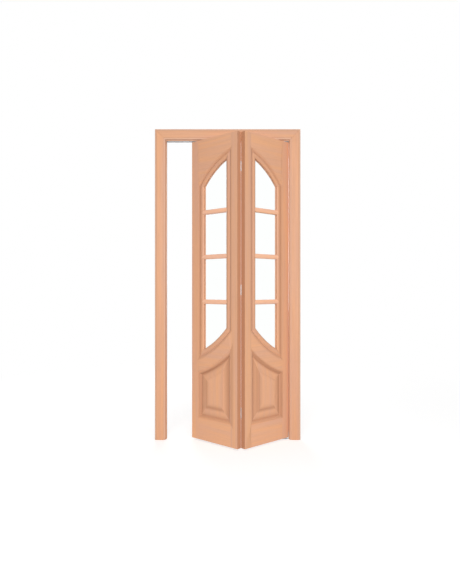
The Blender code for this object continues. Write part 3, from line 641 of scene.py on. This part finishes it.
def leaf_painted_shade(side):
    """The painted shade of one leaf, which darkens its mouldings and its edge at the fold."""
    opening_left = fold_stile_width
    opening_right = leaf_width - outer_stile_width
    sight_left = opening_left + band_width
    sight_right = opening_right - band_width
    peak = (sight_left, leaf_top - lite_peak_drop)
    spring = (sight_right, leaf_top - lite_spring_drop)
    arch_centre = arc_centre(peak, spring, arch_radius, -1)
    low_fold = (sight_left, leaf_bottom + lite_low_fold_height)
    low_outer = (sight_right, leaf_bottom + lite_low_outer_height)
    low_centre = arc_centre(low_fold, low_outer, low_curve_radius, 1)
    panel_top_radius = low_curve_radius + band_width + mid_rail_width
    panel_foot_height = leaf_bottom + bottom_rail_width
    panel_width = sticking_width + panel_bevel_width
    panel_fold_shade, panel_outer_shade, panel_top_shade = panel_side_shade_shares[side]
    lite_fold_shade = lite_fold_side_shade_shares[side]

    def toned(tree, space, colour):
        parts = add_node(tree, "ShaderNodeSeparateXYZ")
        tree.links.new(space, parts.inputs["Vector"])
        x, depth, height = parts.outputs
        from_fold = math_node(tree, "ABSOLUTE", x)
        across = math_node(tree, "SUBTRACT", from_fold, fold_half_gap)
        left = math_node(tree, "SUBTRACT", across, opening_left)
        right = math_node(tree, "SUBTRACT", opening_right, across)
        arch_reach = reach(tree, across, height, arch_centre, True)
        low_reach = reach(tree, across, height, low_centre, False)
        arch = math_node(tree, "SUBTRACT", arch_radius + band_width, arch_reach)
        low_curve = math_node(tree, "SUBTRACT", low_curve_radius + band_width, low_reach)
        panel_top = math_node(tree, "SUBTRACT", low_reach, panel_top_radius)
        panel_foot = math_node(tree, "SUBTRACT", height, panel_foot_height)

        lite_edges = (
            (left, band_width, lite_fold_shade),
            (right, band_width, lite_outer_shade_shares),
            (arch, band_width, lite_arch_shade_shares),
            (low_curve, band_width, lite_foot_shade_shares),
        )
        panel_edges = (
            (left, panel_width, panel_fold_shade),
            (right, panel_width, panel_outer_shade),
            (panel_top, panel_width, panel_top_shade),
            (panel_foot, panel_width + bottom_bevel_extra, panel_foot_shade_shares),
        )
        # Painted shade on the lite's and the panel's mouldings and on the edges at the fold
        front = math_node(tree, "LESS_THAN", depth, painted_shade_depth)
        lite = math_node(tree, "MULTIPLY", nearest_edge_shade(tree, lite_edges), front)
        panel = nearest_edge_shade(tree, panel_edges)
        fold_edge = map_range(
            tree,
            from_fold,
            fold_half_gap + fold_shade_fade_start,
            fold_half_gap + fold_shade_fade_end,
            fold_edge_shade_shares[side],
            0.0,
        )
        return tinted(tree, highest(tree, lite, panel, fold_edge), colour, painted_shade_tone)

    return toned


def casing_toning(axis):
    """The toning of a casing, whose two margins are less red than its middle."""

    def toned(tree, space, colour):
        parts = add_node(tree, "ShaderNodeSeparateXYZ")
        tree.links.new(space, parts.inputs["Vector"])
        x, _, height = parts.outputs
        if axis == level:
            distance = math_node(tree, "SUBTRACT", height, casing_inner_height)
        else:
            aside = math_node(tree, "ABSOLUTE", x)
            distance = math_node(tree, "SUBTRACT", aside, casing_inner_edge)
        share = math_node(tree, "DIVIDE", distance, casing_width)
        return tinted(tree, toned_by(tree, share, margin_tone_shares), colour, margin_tone)

    return toned


def glass():
    """Clear glass that lets light on to wood pass straight through."""
    material, tree, shader = new_material("clear_glass")
    shader.inputs["Base Color"].default_value = (*glass_colour, 1.0)
    shader.inputs["Roughness"].default_value = 0.0
    shader.inputs["IOR"].default_value = glass_ior
    shader.inputs["Transmission Weight"].default_value = 1.0
    clear = add_node(tree, "ShaderNodeBsdfTransparent")
    path = add_node(tree, "ShaderNodeLightPath")
    mix = add_node(tree, "ShaderNodeMixShader")
    shadow, diffuse = path.outputs["Is Shadow Ray"], path.outputs["Is Diffuse Ray"]
    straight = math_node(tree, "MAXIMUM", shadow, diffuse)
    tree.links.new(straight, mix.inputs["Fac"])
    tree.links.new(shader.outputs["BSDF"], mix.inputs[1])
    tree.links.new(clear.outputs["BSDF"], mix.inputs[2])
    tree.links.new(mix.outputs["Shader"], tree.nodes["Material Output"].inputs["Surface"])
    return material


def fine_finish(name, look):
    """Metal or nylon with fine lines along one axis and faint clouds."""
    material, tree, shader = new_material(name)
    space = leaf_space(tree, 0)
    colour, axis = look["colour"], look["axis"]
    lines = grain_noise(tree, space, axis, lines_seed, **look["lines"])
    cloud = grain_noise(tree, space, axis, cloud_seed, **cloud_noise)
    clouds = map_range(tree, cloud, *middle_span, 0, 1)
    toned = tinted(tree, clouds, shade(colour, cloud_tone_share), colour)
    tree.links.new(toned, shader.inputs["Base Color"])
    roughness = map_range(tree, lines, *roughness_span, *look["roughness"])
    tree.links.new(roughness, shader.inputs["Roughness"])
    shader.inputs["Metallic"].default_value = look["metallic"]
    bump = add_node(tree, "ShaderNodeBump")
    bump.inputs["Distance"].default_value = lines_bump_distance
    bump.inputs["Strength"].default_value = look["bump_strength"]
    tree.links.new(lines, bump.inputs["Height"])
    tree.links.new(bump.outputs["Normal"], shader.inputs["Normal"])
    return material


def assign(node_name, material):
    """Gives a node of the frame its only material."""
    mesh = frame["nodes"][node_name].data
    mesh.materials.clear()
    mesh.materials.append(material)


def ease(node_name):
    """Rounds a wooden piece's edges a little, as sanding does."""
    obj = frame["nodes"][node_name]
    weld = obj.modifiers.new("weld", "WELD")
    weld.merge_threshold = weld_distance
    bevel = obj.modifiers.new("ease", "BEVEL")
    bevel.width = wood_ease
    bevel.segments = ease_segments
    bevel.limit_method = "ANGLE"
    bevel.angle_limit = ease_angle


def numbered(name, count):
    return [f"{name}_{number}" for number in range(1, count + 1)]


steel = fine_finish("plated_steel", steel_look)
aluminium = fine_finish("track_aluminium", aluminium_look)
nylon = fine_finish("nylon", nylon_look)
pane = glass()

# The wooden pieces of a leaf and of the frame, with the axis of their grain
leaf_members = {
    "fold_stile": upright,
    "outer_stile": upright,
    "top_rail": level,
    "mid_rail": level,
    "bottom_rail": level,
    "raised_panel": upright,
}
muntins = numbered("muntin", muntin_count)
beads = numbered("glazing_bead", pane_count)
jambs = {"jamb_pivot_side": upright, "jamb_guide_side": upright, "head_jamb": level}
casings = {
    "casing_pivot_side": (upright, casing_tone),
    "casing_guide_side": (upright, casing_tone),
    "casing_head": (level, head_shaded_tone),
}

# The pieces of metal and nylon, apart from the track and the hinges' plates
steel_pieces = (
    *numbered("hinge_pin", hinge_count),
    "top_pivot_pin",
    "bottom_pivot_pin",
    "guide_pin",
    "top_pivot_spring",
    "guide_spring",
    "top_pivot_bracket",
    "bottom_pivot_bracket",
)
nylon_pieces = ("top_pivot_sleeve", "guide_sleeve", "guide_wheel")


def finish_leaf(leaf, side):
    seed = leaf_seeds[side]
    toning = leaf_painted_shade(side)
    for number, (member, axis) in enumerate(leaf_members.items()):
        name = f"{leaf}_{member}"
        tone = fold_stile_shaded_tone if member == "fold_stile" else leaf_tone
        assign(name, wood(name + "_wood", tone, axis, side, seed + number, toning))
        ease(name)
    for number, member in enumerate(muntins):
        name = f"{leaf}_{member}"
        assign(name, wood(name + "_wood", muntin_highlight_tone, level, side, seed + muntin_seed_step + number))
    for number, member in enumerate(beads):
        name = f"{leaf}_{member}"
        assign(name, wood(name + "_wood", leaf_tone, upright, side, seed + bead_seed_step + number))
    for member in numbered("pane", pane_count):
        assign(f"{leaf}_{member}", pane)
    for member in numbered("hinge_plate", hinge_count):
        assign(f"{leaf}_{member}", steel)


def finish_frame():
    for number, (name, axis) in enumerate(jambs.items()):
        assign(name, wood(name + "_wood", casing_tone, axis, 0, jamb_seed + number))
        ease(name)
    for number, (name, (axis, tone)) in enumerate(casings.items()):
        toning = casing_toning(axis)
        assign(name, wood(name + "_wood", tone, axis, 0, casing_seed + number, toning))
        ease(name)


def finish_hardware():
    for name in steel_pieces:
        assign(name, steel)
    for name in nylon_pieces:
        assign(name, nylon)
    assign("top_track", aluminium)


def screw_head():
    """A domed, countersunk head, still without its cross. It faces +Z, and its seat is at z = 0."""
    shape = bmesh.new()
    profile = (
        (0.0, -screw_sink),
        (screw_radius, -screw_sink),
        (screw_radius, 0.0),
        (screw_radius * dome_share, screw_proud),
        (0.0, screw_proud),
    )
    verts = [shape.verts.new((radius, 0, z)) for radius, z in profile]
    edges = [shape.edges.new(pair) for pair in zip(verts, verts[1:])]
    bmesh.ops.spin(
        shape,
        geom=verts + edges,
        cent=(0, 0, 0),
        axis=(0, 0, 1),
        angle=2 * math.pi,
        steps=screw_sides,
    )
    bmesh.ops.remove_doubles(shape, verts=shape.verts, dist=weld_distance)
    bmesh.ops.recalc_face_normals(shape, faces=shape.faces)
    return finished_mesh(shape, "screw_head")


def cross_blade(length, width):
    """A bar that cuts one arm of the cross, half above the head's top."""
    shape = bmesh.new()
    size = Matrix.Diagonal((length, width, 2 * cross_depth, 1))
    bmesh.ops.create_cube(shape, size=1, matrix=Matrix.Translation((0, 0, screw_proud)) @ size)
    return finished_mesh(shape, "blade")


def cross_headed_screw():
    """The head's mesh with the cross cut into it."""
    head = new_object("screw_blank", screw_head())
    blades = []
    for length, width in ((2 * cross_reach, cross_width), (cross_width, 2 * cross_reach)):
        blade = new_object("blade", cross_blade(length, width))
        cut = head.modifiers.new("cross", "BOOLEAN")
        cut.operation = "DIFFERENCE"
        cut.solver = "EXACT"
        cut.object = blade
        blades.append(blade)
    graph = bpy.context.evaluated_depsgraph_get()
    made = bpy.data.meshes.new_from_object(head.evaluated_get(graph))
    for obj in [head] + blades:
        bpy.data.objects.remove(obj, do_unlink=True)
    made.name = "cross_headed_screw"
    made.materials.clear()
    made.materials.append(steel)
    return made


def add_screw(name, body, place, facing, turn):
    """A screw at a place, facing away from what it holds, its cross turned by an angle."""
    obj = new_object(name, screw_mesh)
    way = Vector(facing).to_track_quat("Z", "Y").to_matrix().to_4x4()
    obj.matrix_world = Matrix.Translation(place) @ way @ Matrix.Rotation(turn, 4, "Z")
    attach(obj, body)


def add_hinge_screws(leaf, side):
    """Three in each hinge plate, on the leaf's back, the middle one further from the knuckles."""
    stand = Matrix.Translation(hinge_point) @ Matrix.Rotation(side * leaf_angle, 4, "Z")
    facing = stand.to_3x3() @ Vector((0, 1, 0))
    for hinge in range(1, hinge_count + 1):
        low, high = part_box(f"{leaf}_hinge_plate_{hinge}")
        middle = (low.z + high.z) / 2
        for number, (aside, above) in enumerate(hinge_screws, 1):
            name = f"{leaf}_hinge_{hinge}_screw_{number}"
            place = stand @ Vector((side * aside, leaf_back, middle + above))
            add_screw(name, leaf, place, facing, hinge + number * hinge_screw_turn)


def add_frame_screws():
    """Screws that hold the track and the bottom bracket, and the top bracket's two set screws."""
    down, up, inwards = (0, 0, -1), (0, 0, 1), (-1, 0, 0)
    for number, x in enumerate(track_screw_places, 1):
        add_screw(f"track_screw_{number}", "frame", (x, pivot_line, track_ceiling), down, number)
    for number, z in enumerate(leg_screw_heights, 1):
        name = f"bracket_leg_screw_{number}"
        place = (bracket_leg_face, pivot_line, z)
        add_screw(name, "frame", place, inwards, number + leg_screw_turn)
    for number, way in enumerate((-1, 1), 1):
        name = f"bracket_plate_screw_{number}"
        y = pivot_line + way * plate_screw_aside
        place = (pivot_x - plate_screw_inset, y, bracket_plate_top)
        add_screw(name, "frame", place, up, number + plate_screw_turn)
        place = (pivot_x + way * set_screw_aside, pivot_line, top_bracket_underside)
        add_screw(f"set_screw_{number}", "frame", place, down, number + set_screw_turn)


def coil(name, centre, radius, low, high):
    """A round wire wound about a line from low to high, closed at both ends."""
    shape = bmesh.new()
    count = spring_turns * spring_steps
    upwards = Vector((0, 0, 1))
    rings = []
    for index in range(count + 1):
        angle = 2 * math.pi * index / spring_steps
        outwards = Vector((math.cos(angle), math.sin(angle), 0))
        height = low + (high - low) * index / count
        middle = Vector((centre.x, centre.y, height)) + outwards * radius
        ring = []
        for side in range(spring_wire_sides):
            turn = 2 * math.pi * side / spring_wire_sides
            way = outwards * math.cos(turn) + upwards * math.sin(turn)
            ring.append(shape.verts.new(middle + way * spring_wire_radius))
        rings.append(ring)
    for first, second in zip(rings, rings[1:]):
        for side in range(spring_wire_sides):
            after = (side + 1) % spring_wire_sides
            shape.faces.new((first[side], first[after], second[after], second[side]))
    for face in shape.faces:
        face.smooth = True
    shape.faces.new(rings[0])
    shape.faces.new(rings[-1])
    bmesh.ops.recalc_face_normals(shape, faces=shape.faces)
    return finished_mesh(shape, name)


def add_spring(node, body):
    """A coil in the place of a spring's node."""
    low_corner, high_corner = (Vector(corner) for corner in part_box(node))
    centre = (low_corner + high_corner) / 2
    radius = (high_corner.x - low_corner.x) / 2 - spring_wire_radius
    name = node.replace("spring", "coil")
    low = low_corner.z + spring_wire_radius
    high = high_corner.z - spring_wire_radius
    wire = coil(name, centre, radius, low, high)
    wire.materials.append(steel)
    obj = new_object(name, wire)
    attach(obj, body)
    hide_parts(node)
    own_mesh(obj)


def aim(obj, target):
    obj.rotation_euler = (Vector(target) - obj.location).to_track_quat("-Z", "Y").to_euler()


def area_light(name, place, size, power):
    data = bpy.data.lights.new(name, "AREA")
    data.shape = "SQUARE"
    data.size = size
    data.energy = power
    obj = new_object(name, data)
    obj.location = place
    obj.visible_camera = False
    obj.visible_transmission = False
    aim(obj, light_target)


def seen_rays(tree):
    """One for a ray that shows the background: seen straight, in gloss or through glass."""
    path = add_node(tree, "ShaderNodeLightPath")
    camera, glossy = path.outputs["Is Camera Ray"], path.outputs["Is Glossy Ray"]
    camera_or_glossy = math_node(tree, "ADD", camera, glossy)
    any_of_three = math_node(tree, "ADD", camera_or_glossy, path.outputs["Is Transmission Ray"])
    return math_node(tree, "MINIMUM", any_of_three, 1.0)


def make_world():
    """An even light on the door, and a white backdrop for every ray that shows one."""
    world = bpy.data.worlds.new("studio")
    bpy.context.scene.world = world
    world.use_nodes = True
    tree = world.node_tree
    tree.nodes.clear()
    light = add_node(tree, "ShaderNodeBackground")
    light.inputs["Strength"].default_value = world_strength
    backdrop = add_node(tree, "ShaderNodeBackground")
    for background in (light, backdrop):
        background.inputs["Color"].default_value = (1, 1, 1, 1)
    mix = add_node(tree, "ShaderNodeMixShader")
    out = add_node(tree, "ShaderNodeOutputWorld")
    tree.links.new(seen_rays(tree), mix.inputs["Fac"])
    tree.links.new(light.outputs["Background"], mix.inputs[1])
    tree.links.new(backdrop.outputs["Background"], mix.inputs[2])
    tree.links.new(mix.outputs["Shader"], out.inputs["Surface"])


def make_floor():
    """A plain pale floor that keeps the door's shadow and turns into the backdrop further out."""
    shape = bmesh.new()
    bmesh.ops.create_grid(shape, x_segments=1, y_segments=1, size=floor_reach)
    mesh = finished_mesh(shape, "floor")
    obj = new_object("floor", mesh)
    material, tree, shader = new_material("floor_white")
    shader.inputs["Roughness"].default_value = floor_roughness
    shader.inputs["Specular IOR Level"].default_value = 0.0
    coordinates = add_node(tree, "ShaderNodeTexCoord")
    distance = add_node(tree, "ShaderNodeVectorMath", operation="LENGTH")
    tree.links.new(coordinates.outputs["Object"], distance.inputs[0])
    grey = map_range(tree, distance.outputs["Value"], floor_near, floor_far, floor_grey, 0.0)
    tree.links.new(grey, shader.inputs["Base Color"])
    strength = map_range(tree, distance.outputs["Value"], floor_near, floor_far, floor_glow, 1.0)
    glow = add_node(tree, "ShaderNodeEmission")
    glow.inputs["Color"].default_value = (1, 1, 1, 1)
    tree.links.new(math_node(tree, "MULTIPLY", seen_rays(tree), strength), glow.inputs["Strength"])
    lit_and_glowing = add_node(tree, "ShaderNodeAddShader")
    tree.links.new(shader.outputs["BSDF"], lit_and_glowing.inputs[0])
    tree.links.new(glow.outputs["Emission"], lit_and_glowing.inputs[1])
    surface = tree.nodes["Material Output"].inputs["Surface"]
    tree.links.new(lit_and_glowing.outputs["Shader"], surface)
    mesh.materials.append(material)


def make_camera():
    """The camera, level and looking along Y."""
    data = bpy.data.cameras.new("camera")
    data.lens = camera_lens
    data.sensor_width = camera_sensor
    data.sensor_fit = "AUTO"
    obj = new_object("camera", data)
    obj.location = camera_place
    obj.rotation_euler = (math.pi / 2, 0, 0)
    bpy.context.scene.camera = obj


for leaf, side in leaf_sides.items():
    finish_leaf(leaf, side)
finish_frame()
finish_hardware()

screw_mesh = cross_headed_screw()
for leaf, side in leaf_sides.items():
    add_hinge_screws(leaf, side)
add_frame_screws()
for node, body, joint_name in springs:
    add_spring(node, body)

make_world()
make_floor()
make_camera()
area_light("key", key_place, key_size, key_power)
area_light("fill", fill_place, fill_size, fill_power)
area_light("rear", rear_place, rear_size, rear_power)
bpy.context.scene.view_settings.view_transform = "Standard"
